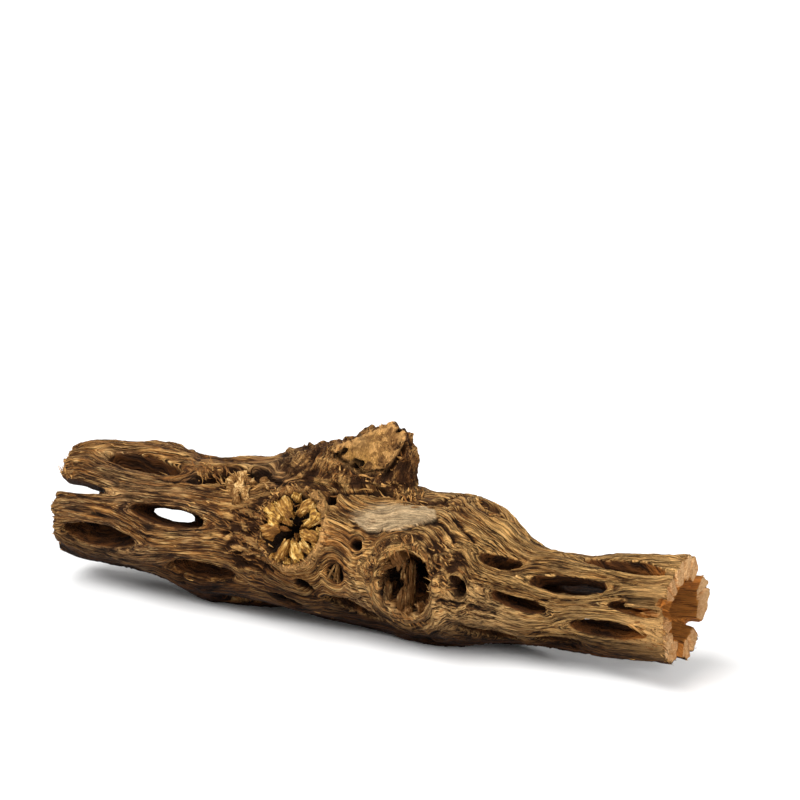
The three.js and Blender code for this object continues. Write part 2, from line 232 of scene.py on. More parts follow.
def readPoints(mesh):
    values = np.empty(len(mesh.vertices) * 3)
    mesh.vertices.foreach_get("co", values)
    return values.reshape(-1, 3)


def writePoints(mesh, points):
    mesh.vertices.foreach_set("co", points.ravel())
    mesh.update()


def readNormals(mesh):
    values = np.empty(len(mesh.vertices) * 3)
    mesh.vertex_normals.foreach_get("vector", values)
    return values.reshape(-1, 3)


def keep(mesh, name, values):  # a number or a vector for each point, which the finish reads
    kind = "FLOAT" if values.ndim == 1 else "FLOAT_VECTOR"
    attribute = mesh.attributes.new(name, kind, "POINT")
    attribute.data.foreach_set("value" if values.ndim == 1 else "vector", values.astype(np.float32).ravel())


def weigh(piece, name, values):  # a vertex group in ten steps
    group = piece.vertex_groups.new(name=name)
    steps = np.rint(values * 10).astype(int)
    for step in range(1, 11):
        group.add(np.nonzero(steps == step)[0].tolist(), step / 10, "REPLACE")


# Wood: the skeleton's own solid, made fine, then carved along its grain. Heights and depths are millimetres
wood = {
    "voxel": 0.40 * mm,
    "smoothings": 16,
    "stubSmoothings": 40,
    "triangles": 197000,
    "sharpFrom": 60.0,
    "degreesInRadian": 57.3,
    "swell": 0.30,
    "ridges": 0.42,
    "fineRidges": 0.22,
    "scratches": 0.16,
    "furrows": 0.75,
    "rough": 0.95,
    "ripples": 0.32,  # rings round the hollow knot
    "starRing": (8.4, 0.9, 0.6),  # radius, half width, height
    "rimHeight": 0.35,
    "gapDepth": 2.0,
    "holeDepth": 1.5,
    "crackDepth": 1.1,
    "starDepth": 1.9,
    "starCrackDepth": 1.6,
    "pitDepth": 1.7,
    "seamDepth": 1.2,
    "seamCut": 2.6,
    "patch": (87.5, 53.0, 8.4, 3.8, 0.33),  # along, angle, half length, half width, slope
    "patchHeight": 0.40,
    "patchStep": 0.5,
    "hollowHeart": (93.3, 3.0, 6.2, 7.2, 3.4),  # along, angle, half length, half height, depth
    "freshPlace": (149.5, -14),
}


def grainNoise(along, grain, length, width, seed):
    turn = np.radians(grain)
    size = limb["grainRadius"]
    return noiseAt(seed, along / length, size * np.cos(turn) / width, size * np.sin(turn) / width)


starCrack = {
    "middle": 1.5,
    "rays": [  # direction, reach, half width in the middle, half width at the tip
        (226, 7.4, 1.1, 0.75), (92, 6.2, 0.9, 0.5), (22, 4.6, 0.8, 0.4), (-22, 3.0, 0.9, 0.5),
    ],
}


def mainCrack(u, v, bend):  # how far a point of the cut stub lies in its large crack, from 0 to 1
    crack = np.exp(-(u ** 2 + v ** 2) / starCrack["middle"] ** 2)
    for direction, reach, middle, tip in starCrack["rays"]:
        turn = math.radians(direction)
        along = u * math.cos(turn) + v * math.sin(turn)
        across = -u * math.sin(turn) + v * math.cos(turn) + bend * np.clip(along / reach, 0, 1)
        half = middle + (tip - middle) * np.clip(along / reach, 0, 1)
        reaches = smoothStep(-0.6, 0.4, along) * smoothStep(reach + 0.6, reach - 0.6, along)
        crack = np.maximum(crack, bell(across, 0, half) * reaches)
    return crack


cracks = [  # half width, depth, and the places that it passes, each along and angle
    (0.38, 1.0, [(72, 60), (76, 66), (80, 70), (84, 75), (88, 74), (92, 74.5), (95, 79), (97.7, 101)]),
    (0.36, 0.9, [(95, 61), (99.5, 53.5), (103, 45)]),
    (0.30, 0.8, [(98, 69), (102, 60), (106, 54)]),
    (0.40, 0.9, [(53, 68), (57, 62), (61, 60), (66, 56), (69, 50)]),
    (0.30, 0.7, [(36, 54), (32, 49), (26, 51)]),
    (0.32, 0.8, [(49, 31), (53, 36), (56, 42)]),
    (0.30, 0.8, [(48, 22), (52, 27), (56, 26)]),
    (0.34, 0.9, [(48, 13), (51, 17), (56, 15)]),
    (0.30, 0.8, [(49, 5), (53, 9), (57, 5)]),
    (0.34, 0.9, [(50, -3), (53, 1), (57, -6), (60, -12)]),
    (0.30, 0.8, [(51, -12), (55, -9), (58, -15)]),
    (0.35, 0.9, [(100, 14), (102, 22), (101, 31)]),
    (0.30, 0.7, [(102, -4), (107, -2), (113, -5)]),
    (0.30, 0.6, [(121, 15), (126, 19), (131, 20)]),
    (0.30, 0.6, [(118, -27), (124, -24), (131, -26)]),
    (0.30, 0.6, [(84, -12), (80, -22), (73, -30)]),
]


def crackDepth(along, angle, radius):
    deep = np.zeros_like(along)
    stray = 0.35 * noiseAt(97, along / 1.6, angle / 6.0, along * 0)
    for half, depth, places in cracks:
        for (along0, angle0), (along1, angle1) in zip(places, places[1:]):
            u, v = aroundFrom((along0, angle0), along, angle, radius)
            du = along1 - along0
            dv = math.radians(angle1 - angle0) * limb["grainRadius"]
            t = np.clip((u * du + v * dv) / (du ** 2 + dv ** 2), 0, 1)
            gap = np.hypot(u - t * du, v - t * dv) + stray
            deep = np.maximum(deep, depth * bell(gap, 0, half))
    return deep


# The flat face where the branch tore from its stump, seen from the near side
facet = {
    "corners": [  # along, height, clockwise
        (70.6, 40.3), (74.4, 44.9), (84.8, 48.4), (86, 47.5), (83.4, 42.2), (81.3, 38.5), (76.8, 37.8),
        (71.8, 39.3),
    ],
    "gapSides": (3, 4),
    "lipSides": (5, 6, 7),
    "pits": [  # along, height, half length, half height, slope
        (71.2, 40.5, 1.3, 0.8, 0.7), (75.2, 38.9, 1.7, 0.55, -0.1), (74.2, 38.4, 0.8, 0.5, -0.3),
        (83.9, 46.6, 0.7, 0.4, 0.5), (79.2, 47, 0.5, 0.35, 0.3), (76, 45.6, 0.5, 0.3, 0.3),
    ],
}


def facetSides(along, height):  # millimetres outside each side of the face
    corners = facet["corners"]
    sides = []
    for (along0, height0), (along1, height1) in zip(corners, corners[1:] + corners[:1]):
        long = math.hypot(along1 - along0, height1 - height0)
        sides.append(((along1 - along0) * (height - height0) - (height1 - height0) * (along - along0)) / long)
    return np.array(sides)


def stumpFace(points, normals, distance, radius):  # the face, its pale rim, the gap beside it and its pits
    along = points[:, 0] / mm - limb["shift"][0]
    height = points[:, 2] / mm - limb["shift"][2]
    front = smoothStep(0.3, 1.6, distance - radius) * smoothStep(-0.05, -0.35, normals[:, 1])
    sides = facetSides(along, height)
    edge = sides.max(0)
    face = smoothStep(0.35, -0.45, edge) * front
    rim = bell(edge, 0.45, 0.55) * front
    beside = sides[list(facet["gapSides"])].max(0)
    gap = bell(beside, 1.5, 0.5) * front
    gap = gap * smoothStep(3.4, 2.2, edge) * smoothStep(35.5, 37.5, height)
    below = sides[list(facet["lipSides"])].max(0)
    lip = bell(below, 0.6, 0.38) * front * smoothStep(1.3, 0.9, edge)
    rim = rim * (1 - 0.9 * lip)
    gap = np.maximum(gap, 0.75 * lip)
    hole = np.zeros_like(along)
    stray = 0.3 * noiseAt(109, along / 0.7, height / 0.7, along * 0)
    for at, high, long, tall, slope in facet["pits"]:
        u = along - at
        pitEdge = np.hypot(u / long, (height - high - slope * u) / tall)
        hole = np.maximum(hole, smoothStep(1.3, 0.7, pitEdge + stray))
    inside = bell(edge, -0.5, 0.5) * front * smoothStep(42.0, 44.0, height)
    return face, np.maximum(rim, 0.8 * inside), gap, hole * front


roughPlaces = [  # along, angle, reach along, reach around, strength
    (53.0, 12, 6.0, 8.5, 1.0),    # wrinkled wood left of the star knot
    (47, 60, 9.5, 3.6, 1.0),      # torn crevice above it
    (58, 50, 5.0, 3.0, 0.9),
    (92, 79, 10.0, 2.0, 0.8),     # along the stump's foot
    (104, 96, 4.5, 3.2, 1.0),     # shallow hollow on the top
    (102.5, 26, 4.5, 6.0, 0.75),  # right of the hollow knot
    (82, 40, 4.0, 2.5, 0.5),
    (70, 44, 6.0, 2.5, 0.6),
    (98, 48, 4.5, 4.0, 0.5),
    (98, -30, 10.0, 3.0, 0.4),
    (30, 120, 12.0, 4.0, 0.5),
    (70, 150, 14.0, 5.0, 0.6),
    (60, 235, 12.0, 5.0, 0.5),
    (110, 170, 10.0, 4.0, 0.4),
]


def roughness(along, angle, radius):
    rough = np.zeros_like(along)
    for at, middle, reachAlong, reachAround, strength in roughPlaces:
        u, v = aroundFrom((at, middle), along, angle, radius)
        rough = np.maximum(rough, strength * np.exp(-(u / reachAlong) ** 4 - (v / reachAround) ** 4))
    return rough


def pitDepth(along, angle, radius):  # small holes sink further than the solid's own pits
    deep = np.zeros_like(along)
    for at, middle, long, wide, turn in limb["pits"][:-1]:
        u, v = aroundFrom((at, middle), along, angle, radius)
        v = v - math.radians(turn) * radius * u / (2 * long)
        deep = np.maximum(deep, smoothStep(1.3, 0.75, np.hypot(u / long, v / wide)))
    return deep


seams = [  # angle, half width, length from the sawn end, depth
    (61, 0.45, 5, 1.0), (88, 0.4, 2.5, 0.8), (-22, 0.35, 2, 0.7), (-50, 0.5, 5, 1.0), (314, 0.4, 4, 0.8),
    (172, 0.35, 3, 0.8), (108, 0.3, 2, 0.6), (250, 0.4, 4, 0.8), (2, 0.25, 2, 0.5), (42, 0.2, 1.5, 0.5),
    (24.5, 0.7, 12, 2.2), (11.5, 0.7, 12, 2.2),
]


def endSeams(along, angle, distance):  # dark joints between the strands at the sawn end
    seam = np.zeros_like(along)
    for middle, half, long, deep in seams:
        gap = np.abs(wrapped(angle - middle)) * np.radians(1.0) * distance
        near = smoothStep(limb["sawnAt"] - long, limb["sawnAt"] - 0.3 * long, along)
        seam = np.maximum(seam, deep * bell(gap, 0, half) * near)
    return seam


def palePatch(along, angle, radius, stray):  # its height over its middle line, its edge and its share
    at, middle, long, wide, slope = wood["patch"]
    u, v = aroundFrom((at, middle), along, angle, radius)
    v = v - slope * u
    edge = np.hypot(u / long, v / wide) + 0.06 * stray
    fade = 0.45 * smoothStep(-1.5, 2.0, v) * smoothStep(4.0, -4.0, u)  # soft on its upper left
    return v, edge, smoothStep(1.03 + fade, 0.96 - fade, edge)


def hollowHeart(along, angle, radius, stray):
    at, middle, long, tall = wood["hollowHeart"][:4]
    u, v = aroundFrom((at, middle), along, angle, radius)
    return smoothStep(1.06, 0.82, np.hypot(u / long, v / tall) + 0.09 * stray)


def woodZones(points, normals):  # where each point lies, and its share of each feature from 0 to 1
    along, distance, angle, radius = limbPlaces(points)
    around = angle * radius / wood["degreesInRadian"]
    outwards = outwardEach(angle)
    facing = (normals * outwards).sum(1)  # 1 where a wall faces straight out
    pith = column(limb["pith"], 1, along)
    level = (distance - pith) / np.maximum(radius - pith, 1)  # 0 at the hollow, 1 at the bark
    outside = smoothStep(0.42, 0.78, level) * smoothStep(-0.1, 0.5, facing)
    sawn = smoothStep(0.6, 0.9, normals[:, 0]) * smoothStep(-0.9, -0.4, along - limb["sawnAt"])
    starU, starV = aroundFrom(limb["starKnot"], along, angle, radius)
    star = np.hypot(starU, starV)
    stub = smoothStep(7.5, 6.7, star) * smoothStep(0.5, 0.7, level)
    bend = 0.6 * noiseAt(47, starU / 2.5, starV / 2.5, starU * 0)
    climbs = distance - radius
    stump = smoothStep(1.3, 2.1, climbs) * smoothStep(40, 46, along) * smoothStep(100, 94, along)
    face, rim, gap, hole = stumpFace(points, normals, distance, radius)
    foot = smoothStep(0.2, 0.9, climbs) * smoothStep(3.4, 2.0, climbs) * smoothStep(50, 60, along)
    foot *= smoothStep(100, 96, along) * smoothStep(54, 62, angle) * smoothStep(135, 120, angle)
    rough = roughness(along, angle, radius)
    rough = np.maximum(rough, np.maximum(0.5 * stump, 0.95 * foot) * (1 - face)) * (1 - stub)
    stray = noiseAt(101, along / 1.4, around / 1.1, along * 0)
    patchV, patchEdge, patch = palePatch(along, angle, radius, stray)
    patch = patch * outside
    worn = np.clip(outside + 0.35 * (1 - outside), 0, 1) * (1 - 0.7 * patch) * (1 - stub) * (1 - 0.9 * face)
    return SimpleNamespace(
        along=along, distance=distance, angle=angle, around=around, outwards=outwards, outside=outside,
        inner=1 - smoothStep(0.30, 0.92, level), worn=worn, sawn=sawn, rough=rough,
        grain=grainAngle(along, angle, radius),
        starU=starU, star=star, stub=stub, crack=mainCrack(starU, starV, bend) * stub,
        hollow=np.hypot(*aroundFrom(limb["hollowKnot"], along, angle, radius)),
        heart=hollowHeart(along, angle, radius, stray) * smoothStep(0.2, 0.5, level),
        pit=pitDepth(along, angle, radius) * smoothStep(0.35, 0.6, level),
        stump=stump, face=face, rim=rim, gap=gap, hole=hole, foot=foot,
        patch=patch, patchEdge=patchEdge, patchSide=smoothStep(1.0, -1.5, patchV) * outside,
        line=crackDepth(along, angle, radius) * smoothStep(0.3, 0.6, level) * (1 - stump),
        seam=endSeams(along, angle, distance),
        fresh=aroundFrom(wood["freshPlace"], along, angle, radius),
    )


def woodRelief(zone):  # the noises that both the carving and the colours follow
    along, distance, around, grain, stump = zone.along, zone.distance, zone.around, zone.grain, zone.stump
    ridge = 1 - np.abs(grainNoise(along, grain, 15.0, 2.3, 7)) * 2
    fine = 1 - np.abs(grainNoise(along, grain, 7.0, 1.15, 11)) * 2
    furrowLine = bell(grainNoise(along, grain, 22.0, 4.2, 17), 0, 0.08)
    climb = distance + 0.55 * (along - 80)  # the stump's own grain leans back
    side = along - 0.35 * distance
    splits = 1 - np.abs(noiseAt(83, climb / 13.0, side / 1.9, around / 2.2)) * 2.4
    slabs = 1 - np.abs(noiseAt(89, climb / 9, side / 3.6, around / 4)) * 2
    wave = 0.9 * noiseAt(61, along / 3.0, distance / 3.0, around / 2.2)
    folds = noiseAt(41, along / 4.0, distance / 2.5, around / 1.15 + wave)
    return SimpleNamespace(
        climb=climb,
        side=side,
        wide=grainNoise(along, grain, 16.0, 5.5, 3),
        ridge=ridge * (1 - stump) + stump * slabs,
        fine=fine * (1 - stump) + stump * splits,
        furrow=furrowLine * smoothStep(-0.15, 0.35, grainNoise(along, grain, 13.0, 4.0, 23)),
        bark=1 - np.abs(grainNoise(along, grain, 3.4, 0.85, 67)) * 2,
        clump=noiseAt(31, along / 2.1, distance / 1.7, around / 1.6),
        crumb=noiseAt(37, along / 0.95, distance / 0.9, around / 0.8),
        wrinkle=1 - np.abs(folds) * 2.4,
    )


def patchShadow(zone, at):  # the step along the lower edge of the pale patch
    return bell(zone.patchEdge, at, 0.06) * zone.patchSide


def liftWood(zone, relief):  # how far each point rises along its normal
    worn, clump, crumb = zone.worn, relief.clump, relief.crumb
    fineRidges = wood["fineRidges"] * (1 + 1.6 * zone.stump) * (relief.fine - 0.3)
    lift = worn * (wood["swell"] * relief.wide + wood["ridges"] * (relief.ridge - 0.4) * 0.6)
    lift += worn * (fineRidges + wood["scratches"] * (relief.bark - 0.4))
    lift -= worn * wood["furrows"] * relief.furrow
    lift += zone.rough * wood["rough"] * (0.45 * clump + 0.25 * crumb + 0.75 * (relief.wrinkle - 0.25))
    ripple = np.sin(zone.hollow * 2.6 + 1.6 * grainNoise(zone.along, zone.angle, 6.0, 3.0, 43))
    ripple = ripple * smoothStep(15.0, 10.5, zone.hollow) * smoothStep(6.0, 8.0, zone.hollow)
    lift += wood["ripples"] * ripple * zone.outside
    radius, half, height = wood["starRing"]
    ring = bell(zone.star, radius, half) * zone.outside
    lift += height * ring * smoothStep(-9.0, 2.0, zone.starU)
    lift += wood["patchHeight"] * zone.patch - wood["patchStep"] * patchShadow(zone, 1.06)
    lift += zone.rim * (wood["rimHeight"] + 0.45 * clump) - wood["gapDepth"] * zone.gap
    lift -= wood["holeDepth"] * zone.hole + wood["crackDepth"] * zone.line
    lift *= 1 - zone.sawn
    lift -= wood["seamDepth"] * zone.seam * zone.outside
    return lift + zone.sawn * 0.06 * crumb


def sinkWood(zone, relief):  # how far each point sinks towards the middle of the limb
    clump = relief.clump
    sink = zone.stub * (wood["starDepth"] + 0.5 * clump) + wood["starCrackDepth"] * zone.crack
    sink += zone.pit * (wood["pitDepth"] + 0.5 * clump)
    heartDepth = wood["hollowHeart"][-1]
    return np.maximum(sink, zone.heart * (heartDepth + 1.3 * clump + 0.6 * relief.crumb))


def linesAndDepthShade(zone, relief):  # how dark a point is painted: its dark grain lines and seams, and painted shade where it lies deep in a pit, crack, gap, hole, hollow or fold, at the stump's foot and below the pale patch's step
    lines = 0.4 * relief.furrow + 0.2 * (0.45 - relief.ridge) + 0.3 * (0.35 - relief.fine)
    lines = np.clip(lines + 0.3 * (0.3 - relief.bark), -0.6, 0.8) * zone.worn
    folds = 1.0 * (0.35 - relief.wrinkle) - 0.2 * relief.clump - 0.25 * relief.crumb
    depth = (lines + zone.rough * np.clip(folds, -0.5, 0.9)) * (1 - 0.7 * zone.face)
    depth += 1.1 * zone.pit + 0.9 * zone.stub + zone.crack + 1.2 * zone.seam
    depth += 1.3 * zone.gap + 1.3 * zone.hole + 1.2 * zone.line
    depth += 0.7 * zone.heart * (1 - 0.5 * relief.clump)
    depth += 0.3 * zone.foot * (1 - zone.face) * (0.6 + relief.clump)
    return depth + 0.9 * patchShadow(zone, 1.08)


def keepLooks(mesh, zone, relief):  # what the finish reads at each point
    turn = np.radians(zone.grain)
    size = limb["grainRadius"]
    flow = np.stack([zone.along, size * np.cos(turn) + 0.5 * zone.distance, size * np.sin(turn)], 1)
    climbing = np.stack([relief.climb, relief.side, zone.around + 9], 1)
    keep(mesh, "grain", np.where((zone.stump > 0.5)[:, None], climbing, flow))
    keep(mesh, "depth", linesAndDepthShade(zone, relief))
    # inner walls of the hollow and the windows: their own brown, darkened further as painted shade
    walls = zone.inner + 0.6 * (1 - zone.outside) * (1 - zone.sawn)
    keep(mesh, "inner", np.clip(walls, 0, 1) * (1 - zone.stub))
    keep(mesh, "sawn", zone.sawn * np.clip(1 - zone.seam, 0, 1))
    keep(mesh, "rough", zone.rough)
    keep(mesh, "patch", zone.patch)
    keep(mesh, "face", zone.face)
    halo = bell(zone.star, 8.0, 0.8) * smoothStep(-8.0, 5.0, zone.starU) * zone.outside
    keep(mesh, "rim", np.clip(zone.rim + 0.8 * halo, 0, 1))
    u, v = zone.fresh
    keep(mesh, "fresh", np.exp(-(u / 7.5) ** 4 - (v / 5.2) ** 4) * zone.outside)
    # painted shade: the colour grows darker towards the underside of the limb
    under = np.abs(wrapped(zone.angle + 90))
    keep(mesh, "shade", smoothStep(90, 36, under) * zone.outside)


def carveWood(piece):
    mesh = piece.data
    points = readPoints(mesh)
    normals = readNormals(mesh)
    zone = woodZones(points, normals)
    relief = woodRelief(zone)
    lift = liftWood(zone, relief) * mm
    sink = sinkWood(zone, relief) * mm
    points = points + normals * lift[:, None] - zone.outwards * sink[:, None]
    points[:, 0] -= zone.sawn * (wood["seamCut"] * zone.seam + 0.12 * (1 + relief.wide)) * mm
    points[:, 2] = np.maximum(points[:, 2], 0.0)
    writePoints(mesh, points)
    keepLooks(mesh, zone, relief)
    return np.clip(0.35 + 0.35 * zone.outside + 0.4 * zone.rough + 0.2 * zone.stub, 0, 1)


def makeWood():
    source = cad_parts["cholla_skeleton"]
    piece = bpy.data.objects.new("chollaWood", source.data.copy())
    scene.collection.objects.link(piece)
    piece.data.materials.clear()
    select(piece)
    bpy.ops.object.mode_set(mode="EDIT")
    bpy.ops.mesh.select_all(action="SELECT")
    bpy.ops.mesh.remove_doubles(threshold=0.000001)
    bpy.ops.object.mode_set(mode="OBJECT")
    applied(piece, "REMESH", mode="VOXEL", voxel_size=wood["voxel"], use_smooth_shade=True)
    print("wood made fine:", len(piece.data.vertices), "points")
    points = readPoints(piece.data)
    along, distance, angle, radius = limbPlaces(points)
    starU, starV = aroundFrom(limb["starKnot"], along, angle, radius)
    soft = np.ones(len(points))
    soft -= 0.5 * smoothStep(-2.0, -0.6, along - limb["sawnAt"])
    soft -= 0.6 * smoothStep(radius + 2.0, radius + 5.0, distance) * smoothStep(40, 46, along)
    soft += stumpFace(points, readNormals(piece.data), distance, radius)[0]
    weigh(piece, "soft", np.clip(soft, 0, 1))
    applied(piece, "SMOOTH", factor=0.5, iterations=wood["smoothings"], vertex_group="soft")
    weigh(piece, "stub", smoothStep(8.0, 6.8, np.hypot(starU, starV)))
    applied(piece, "SMOOTH", factor=0.5, iterations=wood["stubSmoothings"], vertex_group="stub")
    weigh(piece, "finer", carveWood(piece))  # more faces where more shows
    faces = sum(len(p.vertices) - 2 for p in piece.data.polygons)
    ratio = min(1.0, wood["triangles"] / faces)
    applied(piece, "DECIMATE", ratio=ratio, use_collapse_triangulate=True, vertex_group="finer",
            vertex_group_factor=0.5, invert_vertex_group=True)
    piece.vertex_groups.clear()
    select(piece)
    bpy.ops.object.shade_smooth_by_angle(angle=math.radians(wood["sharpFrom"]))
    print("wood carved:", len(piece.data.polygons), "faces from", faces)
    return piece


class Wire:  # one output of a node, which can be added, multiplied and so on
    def __init__(self, finish, socket):
        self.finish = finish
        self.socket = socket

    def math(self, operation, first, second):
        return self.finish.node("ShaderNodeMath", {"operation": operation}, {0: first, 1: second})

    def __add__(self, other):
        return self.math("ADD", self, other)

    __radd__ = __add__

    def __sub__(self, other):
        return self.math("SUBTRACT", self, other)

    def __rsub__(self, other):
        return self.math("SUBTRACT", other, self)

    def __mul__(self, other):
        return self.math("MULTIPLY", self, other)

    __rmul__ = __mul__


class Finish:  # a material and the nodes that are added to it
    def __init__(self, name):
        self.material = bpy.data.materials.new(name)
        self.material.use_nodes = True
        self.tree = self.material.node_tree
        self.tree.nodes.clear()

    def node(self, kind, settings=None, inputs=None, output=0):
        made = self.tree.nodes.new(kind)
        for key, value in (settings or {}).items():
            if key == "stops":
                self.setStops(made.color_ramp, value)
            else:
                setattr(made, key, value)
        for key, value in (inputs or {}).items():
            if isinstance(value, Wire):
                self.tree.links.new(value.socket, made.inputs[key])
            else:
                made.inputs[key].default_value = value
        return Wire(self, made.outputs[output]) if len(made.outputs) else None

    def setStops(self, ramp, stops):  # a new ramp starts with two
        while len(ramp.elements) < len(stops):
            ramp.elements.new(1.0)
        for element, (place, colour) in zip(ramp.elements, stops):
            element.position = place
            element.color = (*colour, 1.0)

    def value(self, name):  # a number that the mesh keeps
        return self.node("ShaderNodeAttribute", {"attribute_name": name}, output=2)

    def vector(self, name):
        return self.node("ShaderNodeAttribute", {"attribute_name": name}, output=1)

    def place(self):  # where a point lies in its piece
        return self.node("ShaderNodeTexCoord", {}, output=3)

    def stretched(self, vector, size):
        return self.node("ShaderNodeVectorMath", {"operation": "MULTIPLY"}, {0: vector, 1: size})

    def noise(self, vector, detail=3.0, roughness=0.55, distortion=0.0, scale=1.0):
        inputs = {"Vector": vector, "Scale": scale, "Detail": detail, "Roughness": roughness}
        inputs["Distortion"] = distortion
        return self.node("ShaderNodeTexNoise", {"noise_dimensions": "3D"}, inputs)

    def fibres(self, vector, size, detail, roughness=0.55, distortion=0.0):  # noise drawn out along a vector
        return self.noise(self.stretched(vector, size), detail, roughness, distortion)

    def between(self, value, low, high):  # 0 below low, 1 above high
        inputs = {"Value": value, "From Min": low, "From Max": high, "To Min": 0.0, "To Max": 1.0}
        return self.node("ShaderNodeMapRange", {"interpolation_type": "SMOOTHSTEP", "clamp": True}, inputs)

    def away(self, value, middle):  # how far a value lies from the middle
        return self.node("ShaderNodeMath", {"operation": "ABSOLUTE"}, {0: value - middle})

    def mix(self, share, first, second, blend="MIX"):
        settings = {"data_type": "RGBA", "blend_type": blend, "clamp_factor": True}
        inputs = {0: share}
        for key, value in ((6, first), (7, second)):
            inputs[key] = value if isinstance(value, Wire) else (*value, 1.0)
        return self.node("ShaderNodeMix", settings, inputs, output=2)

    def coats(self, colour, layers):  # colours laid over each other, each with its share
        for share, over in layers:
            colour = self.mix(share, colour, over)
        return colour

    def shader(self, colour, roughness, bump=None, specular=0.12):
        inputs = {"Base Color": colour, "Roughness": roughness, "Specular IOR Level": specular}
        if bump:
            height, strength, distance = bump
            relief = {"Height": height, "Strength": strength, "Distance": distance}
            inputs["Normal"] = self.node("ShaderNodeBump", {}, relief)
        surface = self.node("ShaderNodeBsdfPrincipled", {}, inputs)
        self.node("ShaderNodeOutputMaterial", {}, {"Surface": surface})
        return self.material


# Weathered cholla wood
woodColours = {
    "darkest": (0.012, 0.005, 0.002),
    "dark": (0.052, 0.019, 0.006),
    "brown": (0.20, 0.075, 0.018),
    "tan": (0.45, 0.200, 0.052),
    "light": (0.76, 0.425, 0.138),
    "grey": (0.33, 0.22, 0.12),
    "orange": (0.45, 0.16, 0.03),
    "inside": (0.15, 0.052, 0.012),
    "insideDark": (0.022, 0.008, 0.003),
    "insideLitEnd": (0.58, 0.205, 0.038),
    "sawn": (0.92, 0.57, 0.27),
    "sawnDark": (0.66, 0.30, 0.10),
    "ochreDark": (0.13, 0.052, 0.012),
    "crumb": (0.52, 0.27, 0.085),
    "highlightFleck": (0.92, 0.62, 0.27),
    "face": (0.54, 0.275, 0.070),
    "faceDark": (0.25, 0.115, 0.035),
    "rim": (0.88, 0.47, 0.16),
    "freshEnd": (0.86, 0.48, 0.17),
    "patch": (0.80, 0.58, 0.33),
    "patchDark": (0.34, 0.22, 0.115),
    "underShade": (0.09, 0.055, 0.032),
    "fibreDark": (0.13, 0.055, 0.016),
    "fibreRed": (0.44, 0.18, 0.045),
}


